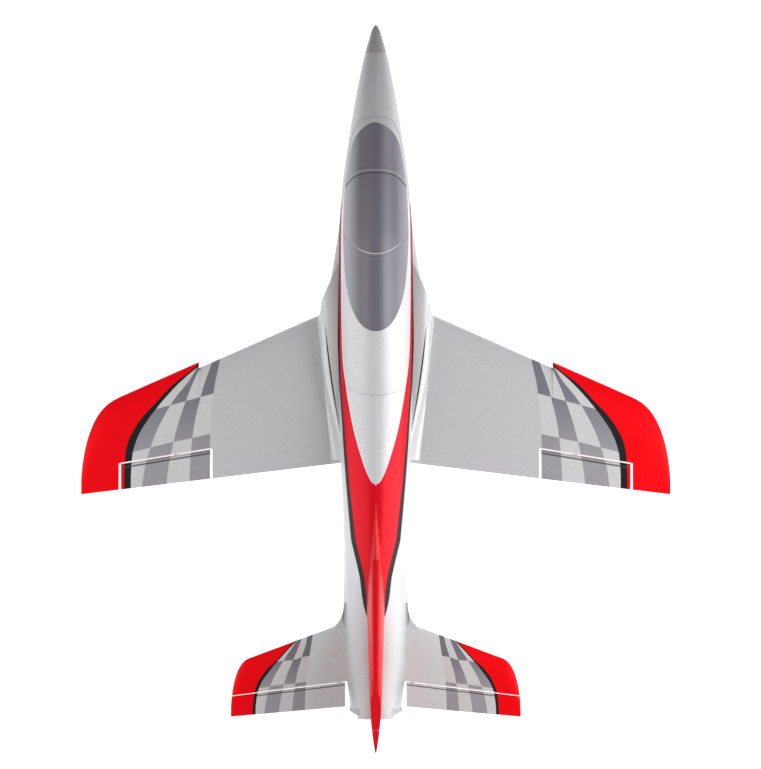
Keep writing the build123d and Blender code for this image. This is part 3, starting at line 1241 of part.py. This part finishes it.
def build():
    parts = {}
    stub, wing_spar = wing_parts(parts)
    tail_link = tail_parts(parts)
    parts["fin"] = fin_parts(parts)
    steering_parts(parts)
    body_shell(parts, stub, wing_spar, tail_link, parts["fin"])
    propulsion_parts(parts)
    equipment_parts(parts)
    gear_parts(parts)
    # the port side repeats the starboard side
    for name in [name for name in parts if "right" in name]:
        parts[name.replace("right", "left")] = port(parts[name])
    for name in ("aileron_servos", "elevator_servos", "tailplane_spars", "gear_blocks"):
        parts[name] = Compound([parts[name], port(parts[name])])
    return parts


os.makedirs("parts", exist_ok=True)
for name, shape in build().items():
    export_step(shape, f"parts/{name}.step")
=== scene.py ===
import json
import bpy
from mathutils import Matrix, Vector

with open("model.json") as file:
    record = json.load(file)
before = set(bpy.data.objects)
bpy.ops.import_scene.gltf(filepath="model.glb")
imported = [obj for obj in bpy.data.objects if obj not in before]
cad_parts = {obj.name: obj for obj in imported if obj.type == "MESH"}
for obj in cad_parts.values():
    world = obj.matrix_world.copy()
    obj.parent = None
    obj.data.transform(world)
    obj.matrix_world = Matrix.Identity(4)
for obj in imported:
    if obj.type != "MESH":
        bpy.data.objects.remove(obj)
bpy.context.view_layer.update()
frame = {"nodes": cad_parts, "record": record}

# The frame has +Y towards the nose and its origin under the middle of the aircraft, so a station,
# the distance aft of the nose tip in millimetres, is NOSE_Y - Y * MM.
MM = 1000.0
NOSE_Y = 476.3
TRIM_FLOOR = 108.0           # height above which the spine trim and the hatch joint are painted
JOINT_FLOOR = 104.0          # the same for the joint along the intake trunk

FLOOR_GLOW = 0.75
WORLD_LIGHT = 0.3
FLOOR_REACH = 6.0
STARBOARD_POWER = 33.0
PORT_POWER = 16.0
SOFTBOX_PLACE = (1.5, -0.3, 0.95)    # starboard; the port one mirrors it
SOFTBOX_AIM = (0.0, -0.3, 0.1)
SOFTBOX_SIZE = (1.1, 2.4)
CAMERA_DISTANCE = 14.0
CAMERA_CENTRE = (0.0062, 0.0030, 0.084)
VIEW_HEIGHT = 1.013                  # metres seen across the frame at wing height
SENSOR = 36.0

# half span and station of the windscreen bow and of the joint across the glazing
BOW_LINE = [(0.0, 192.5), (14.0, 193.5), (26.0, 197.0), (38.0, 208.0), (46.0, 219.0)]
JOINT_LINE = [(0.0, 302.0), (20.0, 297.0), (34.0, 287.0), (46.0, 273.0)]


# sRGB colours of the finishes, turned into linear light
def linear(red, green, blue):
    def channel(value):
        value /= 255
        return value / 12.92 if value <= 0.04045 else ((value + 0.055) / 1.055) ** 2.4
    return (channel(red), channel(green), channel(blue), 1.0)


SILVER = linear(205, 205, 207)
TAIL_CONE = linear(188, 192, 193)
# a lighter copy of the silver: painted light on the tail surfaces and the tail fillets
TAIL_SILVER_LIT = linear(220, 232, 233)
CHECK_DARK = linear(128, 126, 136)
CHECK_LIGHT = linear(216, 216, 217)
RED = linear(255, 0, 16)
SPINE_RED = linear(226, 0, 30)
BLACK = linear(38, 36, 38)
WHITE = linear(214, 214, 216)
CANOPY = linear(112, 109, 121)
# painted reflections and highlights on the canopy
CANOPY_REFLECTION = linear(172, 170, 178)
CANOPY_WARM_REFLECTION = linear(134, 124, 130)
NOSE_GREY = linear(150, 147, 149)
NOSE_SILVER = linear(172, 172, 175)
# the pale line colour is also the painted highlight along the hinges; the dark grey after it is dark paint
# and joints, and also painted shadow in the hinge grooves and painted shade beside the nozzle
PALE_LINE = linear(244, 236, 238)
DARK_PAINT_AND_SHADE = linear(70, 68, 72)
PAINT_EDGE = linear(118, 24, 34)


# ---- shader building ------------------------------------------------------
class Value:
    """One number in a shader, with arithmetic that adds Math nodes."""

    def __init__(self, tree, socket):
        self.tree = tree
        self.socket = socket

    def math(self, operation, *others, clamp=False):
        node = self.tree.nodes.new("ShaderNodeMath")
        node.operation = operation
        node.use_clamp = clamp
        for index, item in enumerate((self,) + others):
            if isinstance(item, Value):
                self.tree.links.new(item.socket, node.inputs[index])
            else:
                node.inputs[index].default_value = item
        return Value(self.tree, node.outputs[0])

    def __add__(self, other):
        return self.math("ADD", other)

    def __sub__(self, other):
        return self.math("SUBTRACT", other)

    def __mul__(self, other):
        return self.math("MULTIPLY", other)

    def __truediv__(self, other):
        return self.math("DIVIDE", other)

    def above(self, other, soft):
        """1 where this is above the other, with an edge that is soft wide."""
        return ((self - other) / soft + 0.5).math("ADD", 0.0, clamp=True)

    def flip(self):
        return (self * -1.0) + 1.0


class Paint:
    """A material in progress: its nodes, its coordinates, and layers of colour laid over each other."""

    def __init__(self, name, roughness=0.5, coat=0.0, metallic=0.0, specular=0.5):
        self.material = bpy.data.materials.new(name)
        self.material.use_nodes = True
        self.tree = self.material.node_tree
        self.shader = self.tree.nodes["Principled BSDF"]
        self.shader.inputs["Roughness"].default_value = roughness
        self.shader.inputs["Metallic"].default_value = metallic
        self.shader.inputs["Specular IOR Level"].default_value = specular
        self.shader.inputs["Coat Weight"].default_value = coat
        self.shader.inputs["Coat Roughness"].default_value = 0.12
        self.coordinates = self.tree.nodes.new("ShaderNodeTexCoord")
        split = self.tree.nodes.new("ShaderNodeSeparateXYZ")
        self.tree.links.new(self.coordinates.outputs["Object"], split.inputs[0])
        self.x = Value(self.tree, split.outputs[0]) * MM
        self.y = Value(self.tree, split.outputs[1]) * MM
        self.z = Value(self.tree, split.outputs[2]) * MM
        self.half_span = self.x.math("ABSOLUTE")
        self.station = (self.y * -1.0) + NOSE_Y
        self.colour = None
        self.bumps = []

    def curve(self, points, key, smooth=True):
        """A line through (key, value) points as a Float Curve node, smooth or in straight runs."""
        node = self.tree.nodes.new("ShaderNodeFloatCurve")
        keys = [p[0] for p in points]
        values = [p[1] for p in points]
        low, high = min(keys), max(keys)
        floor, ceiling = min(values), max(values)
        line = node.mapping.curves[0]
        for index, (at, value) in enumerate(points):
            place = ((at - low) / (high - low), (value - floor) / (ceiling - floor))
            if index == 0:
                line.points[0].location = place
            elif index == len(points) - 1:
                line.points[len(line.points) - 1].location = place
            else:
                line.points.new(*place)
        if not smooth:
            for point in line.points:
                point.handle_type = "VECTOR"
        node.mapping.update()
        share = (key - low) / (high - low)
        self.tree.links.new(share.math("ADD", 0.0, clamp=True).socket, node.inputs["Value"])
        return Value(self.tree, node.outputs[0]) * (ceiling - floor) + floor

    def base(self, colour):
        self.colour = colour
        return self

    def feed(self, socket):
        """Puts the colour so far into a socket: a plain value at first, a link once anything lies over it."""
        if isinstance(self.colour, tuple):
            socket.default_value = self.colour
        else:
            self.tree.links.new(self.colour, socket)

    def layer(self, colour, mask):
        node = self.tree.nodes.new("ShaderNodeMix")
        node.data_type = "RGBA"
        self.tree.links.new(mask.socket, node.inputs[0])
        self.feed(node.inputs[6])
        node.inputs[7].default_value = colour
        self.colour = node.outputs[2]
        return self

    def noise(self, scale, detail=3.0, roughness=0.6):
        node = self.tree.nodes.new("ShaderNodeTexNoise")
        node.inputs["Scale"].default_value = scale
        node.inputs["Detail"].default_value = detail
        node.inputs["Roughness"].default_value = roughness
        self.tree.links.new(self.coordinates.outputs["Object"], node.inputs["Vector"])
        return Value(self.tree, node.outputs["Fac"])

    def pebble(self, scale):
        """Cell distance of a fine Voronoi pattern: the beads of moulded foam."""
        node = self.tree.nodes.new("ShaderNodeTexVoronoi")
        node.inputs["Scale"].default_value = scale
        self.tree.links.new(self.coordinates.outputs["Object"], node.inputs["Vector"])
        return Value(self.tree, node.outputs["Distance"])

    def mottle(self, amount, scale):
        """Light and dark variation laid over the colour."""
        tone = self.noise(scale) * (2 * amount) + (1.0 - amount)
        node = self.tree.nodes.new("ShaderNodeMix")
        node.data_type = "RGBA"
        node.blend_type = "MULTIPLY"
        node.inputs[0].default_value = 1.0
        self.feed(node.inputs[6])
        self.tree.links.new(tone.socket, node.inputs[7])
        self.colour = node.outputs[2]
        return self

    def bump(self, height, distance, strength=1.0):
        node = self.tree.nodes.new("ShaderNodeBump")
        node.inputs["Strength"].default_value = strength
        node.inputs["Distance"].default_value = distance
        self.tree.links.new(height.socket, node.inputs["Height"])
        if self.bumps:
            self.tree.links.new(self.bumps[-1].outputs[0], node.inputs["Normal"])
        self.bumps.append(node)
        return self

    def roughen(self, value):
        self.tree.links.new(value.socket, self.shader.inputs["Roughness"])
        return self

    def finish(self):
        self.tree.links.new(self.colour, self.shader.inputs["Base Color"])
        if self.bumps:
            self.tree.links.new(self.bumps[-1].outputs[0], self.shader.inputs["Normal"])
        return self.material


def foam_grain(paint):
    """Fine pebble of painted moulded foam, with slow unevenness under it."""
    paint.mottle(0.035, 90.0)
    paint.mottle(0.13, 420.0)
    paint.bump(paint.pebble(620.0), 0.00012, 0.35)
    paint.bump(paint.noise(70.0, 2.0), 0.0006, 0.25)
    paint.roughen(paint.noise(400.0) * 0.12 + 0.34)
    return paint


def exclusive(a, b):
    """Exclusive or of two masks."""
    return a + b - (a * b) * 2.0


def between(value, low, high, soft):
    """1 where a value lies between two others."""
    return value.above(low, soft) * value.above(high, soft).flip()


def trim_pattern(paint, red_edge, black_edge, columns, rows):
    """Red tip, black band and checks. The edges and columns are lines of half span along the station;
    rows are lines of station along the half span. Every line crossed turns dark to light."""
    soft = 0.5
    red = paint.curve(red_edge, paint.station)
    black = paint.curve(black_edge, paint.station)
    lines = [paint.curve(column, paint.station) for column in columns]
    parity = None
    for line in lines[1:]:
        step = paint.half_span.above(line, soft)
        parity = step if parity is None else exclusive(parity, step)
    for row in rows:
        parity = exclusive(parity, paint.station.above(paint.curve(row, paint.half_span), soft))
    zone = paint.half_span.above(lines[0], soft)
    paint.layer(CHECK_LIGHT, zone * 0.8)
    # the dark checks fade towards the trailing edge
    start, end = rows[0][0][1], rows[-1][-1][1]
    fade = ((paint.station - start) / (end - start)).math("ADD", 0.0, clamp=True)
    paint.layer(CHECK_DARK, zone * parity.flip() * (fade * -0.35 + 1.0))
    paint.layer(BLACK, paint.half_span.above(black, soft))
    paint.layer(RED, paint.half_span.above(red, soft))


def hinge_marks(paint, inner, outer, light, dark):
    """Painted highlight along a hinge line, where the edge ahead of the groove catches the light, and painted
    shadow in the groove behind it.
    The distance behind the line is the station less the line's own, times the cosine of its slant."""
    slope = (outer[1] - inner[1]) / (outer[0] - inner[0])
    behind = paint.station - ((paint.half_span - inner[0]) * slope + inner[1])
    along = between(paint.half_span, inner[0], outer[0], 0.4)
    # painted highlight on the front edge of the hinge, painted shadow in the groove behind it
    paint.layer(PALE_LINE, between(behind, light[0], light[1], 0.3) * along * 0.85)
    paint.layer(DARK_PAINT_AND_SHADE, between(behind, dark[0], dark[1], 0.5) * along * 0.8)


# ---- materials ------------------------------------------------------------
def wing_material():
    """Silver wing with checks, a black band and a red tip."""
    paint = Paint("wing_paint", 0.4, metallic=0.15, specular=0.12).base(SILVER)
    trim_pattern(paint,
                 red_edge=[(438, 221), (446, 233), (454.9, 243.5), (475, 269), (495.2, 287.9),
                           (515.3, 306.6),
                           (532.9, 318.7), (550.4, 326.8), (569, 330.2), (640, 330.2)],
                 black_edge=[(438, 220), (449, 233), (468.3, 255.6), (479.1, 266.5), (501.9, 286.4),
                             (523.5, 302.6), (539.5, 312), (555.6, 318), (569, 320.8), (640, 321.2)],
                 columns=[[(430, 203.5), (443.4, 205.6), (485.2, 213.6), (538.3, 218), (640, 218)],
                          [(430, 210), (448.8, 217.3), (489.8, 230.7), (543.7, 241.5), (600, 245.5),
                           (640, 246)],
                          [(430, 220), (453.6, 232.7), (495.2, 250.2), (548.9, 266.3), (604.8, 275.8),
                           (640, 277)],
                          [(430, 226), (460.3, 240.7), (500.6, 270.4), (556.4, 296.6), (608, 308),
                           (640, 309)]],
                 rows=[[(200, 481.5), (213.6, 485.2), (230.7, 489.8), (250.2, 495.2), (270.4, 500.6),
                        (340, 519)],
                       [(200, 534), (218, 538.3), (241.5, 543.7), (266.3, 548.9), (296.6, 556.4),
                        (340, 567)]])
    hinge_marks(paint, (216.8, 559.1), (335.6, 578.7), (-2.6, -0.4), (3.2, 5.6))
    return foam_grain(paint).finish()


def tail_material():
    """The wing's scheme again at the tailplane's size, on a lighter silver than the wing's: painted light
    that makes up for the tail lying in shade.
    """
    paint = Paint("tail_paint", 0.4, metallic=0.15, specular=0.12).base(TAIL_SILVER_LIT)
    trim_pattern(paint,
                 red_edge=[(796, 93), (805, 101), (815, 111.3), (834.4, 129.3), (850.5, 145.5),
                           (866.6, 155.5),
                           (880.1, 159.6), (920, 161.8)],
                 black_edge=[(796, 90), (812, 106), (834.4, 126.7), (850.5, 140.1), (866.6, 150.9),
                             (880.1, 155.5),
                             (920, 157.8)],
                 columns=[[(790, 81), (804.1, 83), (829.7, 87), (863.9, 91.8), (920, 93.5)],
                          [(790, 88.5), (806.9, 90.3), (831.6, 97.1), (866, 105.9), (902.3, 109.8),
                           (920, 111)],
                          [(790, 93), (810.2, 98.5), (835.1, 108.5), (867.3, 120.6), (903.6, 127.4),
                           (920, 129)],
                          [(790, 96), (812.2, 105.9), (836.4, 121.3), (870, 138.8), (905, 146.8),
                           (920, 148)]],
                 rows=[[(80, 828.4), (87, 829.7), (97.1, 831.6), (108.5, 835.1), (121.3, 836.4),
                        (165, 843)],
                       [(80, 862.5), (91.8, 863.9), (105.9, 866), (120.6, 867.3), (138.8, 870),
                        (165, 874)]])
    hinge_marks(paint, (40.5, 864.4), (156.0, 878.8), (-2.2, -0.4), (2.6, 4.2))
    return foam_grain(paint).finish()


def body_material():
    """Silver-white body with a red spine that starts as a thin line beside the canopy, edged in black."""
    paint = Paint("body_paint", 0.4, coat=0.06, metallic=0.2, specular=0.15).base(WHITE)
    # the nose is a greyer silver that clears towards the canopy
    front = ((paint.station - 20.0) / 230.0).math("ADD", 0.0, clamp=True)
    paint.layer(NOSE_SILVER, front.flip() * 0.9)
    # duller tail cone, and the tail fillets beside it painted lighter: painted light that makes up for the
    # shade they lie in
    flanks = paint.half_span.above(42.0, 1.0)
    paint.layer(TAIL_CONE, paint.station.above(760.0, 120.0) * flanks.flip() * 0.75)
    # painted light on the shaded tail fillets
    paint.layer(TAIL_SILVER_LIT, between(paint.station, 755, 830, 4.0) * flanks)
    inner = paint.curve([(236, 44.3), (270, 45.2), (400, 45.0), (440, 43.6), (474, 39.6), (505, 34.6),
                         (528, 30.2),
                         (546, 25.8), (564, 20.6), (580, 15.4), (594, 9.6), (602, 5.0), (606.6, 0),
                         (640, 0)],
                        paint.station)
    outer = paint.curve([(236, 45.4), (270, 46.8), (340, 47.7), (419, 48.2), (473.6, 46), (546, 40.7),
                         (600, 35.7),
                         (640, 31.3), (678, 26.8), (706, 20.0), (726.5, 15.4), (745, 13.2),
                         (762.5, 11.7),
                         (778, 9.0), (790, 0), (860, 0)], paint.station, smooth=False)
    band = paint.curve([(236, 0.4), (270, 0.8), (420, 1.8), (533, 2.2), (600, 3.6), (680, 5.6),
                        (750, 5.6),
                        (778, 3.0),
                        (790, 0), (860, 0)], paint.station, smooth=False)
    upper = paint.z.above(TRIM_FLOOR, 1.0)
    trim = paint.station.above(240.0, 14.0) * upper
    within = (paint.half_span.above(outer + band, 0.4)).flip()
    outside = paint.half_span.above(inner, 0.4)
    rim = paint.half_span.above(inner - 1.1, 0.4)
    paint.layer(PALE_LINE, trim * within * rim)
    paint.layer(BLACK, trim * within * outside)
    paint.layer(PAINT_EDGE, trim * paint.half_span.above(outer + 0.3, 0.4).flip() * outside)
    paint.layer(SPINE_RED, trim * paint.half_span.above(outer - 0.8, 0.4).flip() * outside)
    # the stripe beside the canopy is dulled by its dark outer edge
    forward = paint.station.above(430.0, 60.0).flip()
    paint.layer(PAINT_EDGE, trim * forward * outside * paint.half_span.above(outer - 1.6, 0.8) * within * 0.7)
    # joint of the hatch beside the glazing
    seam = paint.curve([(128, 22.0), (140, 29.0), (160, 34.0), (186, 38.7), (215, 42.3), (245, 44.5)],
                       paint.station)
    beside = (paint.half_span - seam).math("ABSOLUTE").above(0.5, 0.5).flip()
    paint.layer(DARK_PAINT_AND_SHADE, beside * between(paint.station, 130, 243, 2.0) * upper * 0.55)
    # dark stripes low on the rear flanks
    flank = paint.curve([(640, 42.2), (690, 40.9), (740, 41.3), (790, 42.6)], paint.station)
    beyond = paint.half_span - flank
    paint.layer(DARK_PAINT_AND_SHADE, between(beyond, 0.0, 1.7, 0.6) * between(paint.station, 690, 786, 6.0) * 0.7)
    # dark corner pieces, and painted shade on the grey quadrants beside the nozzle
    paint.layer(DARK_PAINT_AND_SHADE, between(paint.half_span, 32.0, 42.0, 1.2) * paint.station.above(897.5, 1.5) * 0.65)
    paint.layer(DARK_PAINT_AND_SHADE, between(paint.half_span, 20.5, 31.0, 1.0) * paint.station.above(898.5, 1.5) * 0.25)
    # thin dark joint along each intake trunk
    joint = paint.curve([(395, 66.6), (401, 66.0), (440, 61.8), (480, 56.2), (530, 47.8), (536, 46.8)],
                        paint.station)
    width = paint.curve([(395, 0.0), (401, 0.3), (460, 1.0), (500, 0.7), (530, 0.3), (536, 0.0)],
                        paint.station)
    off = (paint.half_span - joint).math("ABSOLUTE")
    run = between(paint.station, 396, 536, 1.0) * paint.z.above(JOINT_FLOOR, 1.0)
    paint.layer(BLACK, off.above(width, 0.4).flip() * run)
    return foam_grain(paint).finish()


def canopy_material():
    """Grey-violet tinted moulding with soft bands of painted reflection along its length, a bow and a rear
    joint, each with a dark line and a painted highlight.
    """
    paint = Paint("canopy_tint", 0.34, coat=0.12, specular=0.3).base(CANOPY)
    # painted reflection: lighter and warmer bands along the canopy, strongest on the port side
    port = paint.x * -1.0
    paint.layer(CANOPY_REFLECTION, port.above(28.0, 16.0) * 0.9)
    paint.layer(CANOPY_WARM_REFLECTION, between(port, 6.0, 21.0, 9.0) * 0.45)
    paint.layer(CANOPY_REFLECTION, between(paint.x, 9.0, 22.0, 9.0) * 0.35)
    paint.layer(CANOPY_REFLECTION, paint.x.above(31.0, 16.0) * 0.45)
    # painted highlight on the windscreen bow, with a dark line behind it
    bow = paint.station - paint.curve(BOW_LINE, paint.half_span)
    paint.layer(CANOPY_REFLECTION, between(bow, -2.0, 1.2, 1.2) * 0.4)
    paint.layer(DARK_PAINT_AND_SHADE, between(bow, 2.0, 3.6, 0.8) * 0.8)
    # dark rear joint line, with faint painted highlights behind it
    joint = paint.station - paint.curve(JOINT_LINE, paint.half_span)
    paint.layer(DARK_PAINT_AND_SHADE, between(joint, -0.9, 0.9, 0.8) * 0.9)
    paint.layer(CANOPY_REFLECTION, between(joint, 1.4, 2.6, 0.8) * 0.25)
    paint.layer(CANOPY_REFLECTION, between(joint, 7.4, 8.6, 0.8) * 0.2)
    paint.mottle(0.03, 500.0)
    paint.bump(paint.noise(900.0), 0.00004, 0.3)
    paint.roughen(paint.noise(60.0) * 0.12 + 0.26)
    return paint.finish()


def plain(name, colour, roughness, coat=0.0, metallic=0.0, grain=0.05, scale=400.0, depth=0.00005,
          specular=0.5):
    """A moulded, drawn or woven finish: an even colour with its own mottle, fine relief and shine."""
    paint = Paint(name, roughness, coat, metallic, specular).base(colour)
    paint.mottle(grain, scale)
    paint.bump(paint.noise(scale * 2), depth, 0.4)
    paint.roughen(paint.noise(scale) * 0.16 + (roughness - 0.08))
    return paint.finish()


def assign(node, material):
    """Gives a CAD node one material in all its slots."""
    slots = frame["nodes"][node].data.materials
    if len(slots) == 0:
        slots.append(material)
    for index in range(len(slots)):
        slots[index] = material


wing_paint = wing_material()
tail_paint = tail_material()
body_paint = body_material()
fin_paint = plain("fin_red", linear(222, 0, 22), 0.36, coat=0.12, grain=0.04, specular=0.2)
nozzle_paint = plain("nozzle_grey", linear(196, 196, 198), 0.4)
canopy_paint = canopy_material()
nose_paint = plain("nose_grey", NOSE_GREY, 0.35, coat=0.3)
black_plastic = plain("black_plastic", linear(28, 28, 30), 0.45)
servo_case = plain("servo_case", linear(22, 26, 34), 0.3, coat=0.3)
white_nylon = plain("white_nylon", linear(225, 225, 222), 0.4)
liner = plain("formed_liner", linear(120, 121, 124), 0.4)
rotor_nylon = plain("rotor_nylon", linear(36, 36, 38), 0.4)
alloy = plain("spinner_alloy", linear(205, 205, 210), 0.25, metallic=1.0, grain=0.03)
motor_can = plain("motor_can", linear(150, 40, 30), 0.3, metallic=0.9)
carbon = plain("carbon_tube", linear(30, 30, 33), 0.35, coat=0.4)
steel = plain("steel_wire", linear(165, 165, 170), 0.3, metallic=1.0)
tyre_rubber = plain("tyre_foam", linear(24, 24, 25), 0.85, grain=0.12, scale=900.0, depth=0.0003)
battery_wrap = plain("battery_wrap", linear(28, 48, 120), 0.25, coat=0.4)
strap_fabric = plain("strap_fabric", linear(25, 25, 27), 0.9, grain=0.2, scale=1500.0, depth=0.0003)
ply = plain("ply_wood", linear(200, 170, 125), 0.6, grain=0.12, scale=120.0)
nickel = plain("magnet_nickel", linear(210, 210, 212), 0.15, metallic=1.0)

MATERIALS = {
    "foam_silver": body_paint, "wing_paint": wing_paint, "fin_red": fin_paint, "canopy_tint": canopy_paint,
    "nose_grey": nose_paint, "black_plastic": black_plastic, "servo_case": servo_case,
    "white_plastic": white_nylon, "liner_grey": liner, "rotor_black": rotor_nylon, "spinner_alloy": alloy,
    "motor_can": motor_can, "carbon_tube": carbon, "steel_wire": steel, "tyre_foam": tyre_rubber,
    "wheel_white": white_nylon, "battery_wrap": battery_wrap, "strap_fabric": strap_fabric, "ply_wood": ply,
    "magnet_nickel": nickel,
}
for part in frame["record"]["subparts"]:
    node = part["node"]
    material = MATERIALS[part["material_slot"]]
    if node.startswith(("tailplane", "elevator")) and part["material_slot"] == "wing_paint":
        material = tail_paint
    if node == "exhaust_nozzle":
        material = nozzle_paint
    assign(node, material)


# ---- stage ----------------------------------------------------------------
def softbox(name, place, aim, energy, width, height):
    """A large soft light at a place, turned so that it looks at the aim."""
    light = bpy.data.lights.new(name, "AREA")
    light.shape = "RECTANGLE"
    light.energy = energy
    light.size = width
    light.size_y = height
    lamp = bpy.data.objects.new(name, light)
    bpy.context.scene.collection.objects.link(lamp)
    lamp.location = place
    lamp.rotation_euler = (Vector(aim) - Vector(place)).to_track_quat("-Z", "Y").to_euler()


def stage():
    """Pale floor and soft light from both sides, stronger from starboard."""
    mesh = bpy.data.meshes.new("floor")
    reach = FLOOR_REACH
    corners = [(-reach, -reach, 0), (reach, -reach, 0), (reach, reach, 0), (-reach, reach, 0)]
    mesh.from_pydata(corners, [], [(0, 1, 2, 3)])
    floor = bpy.data.objects.new("floor", mesh)
    bpy.context.scene.collection.objects.link(floor)
    floor_paint = bpy.data.materials.new("floor_white")
    floor_paint.use_nodes = True
    shader = floor_paint.node_tree.nodes["Principled BSDF"]
    shader.inputs["Base Color"].default_value = (0.8, 0.8, 0.8, 1)
    shader.inputs["Roughness"].default_value = 0.9
    shader.inputs["Specular IOR Level"].default_value = 0.0
    shader.inputs["Emission Color"].default_value = (1.0, 1.0, 1.0, 1.0)
    shader.inputs["Emission Strength"].default_value = FLOOR_GLOW
    mesh.materials.append(floor_paint)
    world = bpy.data.worlds.new("studio")
    world.use_nodes = True
    world.node_tree.nodes["Background"].inputs[0].default_value = (1.0, 1.0, 1.0, 1.0)
    world.node_tree.nodes["Background"].inputs[1].default_value = WORLD_LIGHT
    bpy.context.scene.world = world
    across, along, height = SOFTBOX_PLACE
    softbox("starboard_softbox", (across, along, height), SOFTBOX_AIM, STARBOARD_POWER, *SOFTBOX_SIZE)
    softbox("port_softbox", (-across, along, height), SOFTBOX_AIM, PORT_POWER, *SOFTBOX_SIZE)


def camera():
    """A long lens straight above the aircraft, nose up."""
    data = bpy.data.cameras.new("camera")
    data.sensor_width = SENSOR
    data.lens = SENSOR * CAMERA_DISTANCE / VIEW_HEIGHT
    eye = bpy.data.objects.new("camera", data)
    bpy.context.scene.collection.objects.link(eye)
    eye.location = Vector(CAMERA_CENTRE) + Vector((0.0, 0.0, CAMERA_DISTANCE))
    bpy.context.scene.camera = eye
    bpy.context.scene.view_settings.view_transform = "Standard"


stage()
camera()
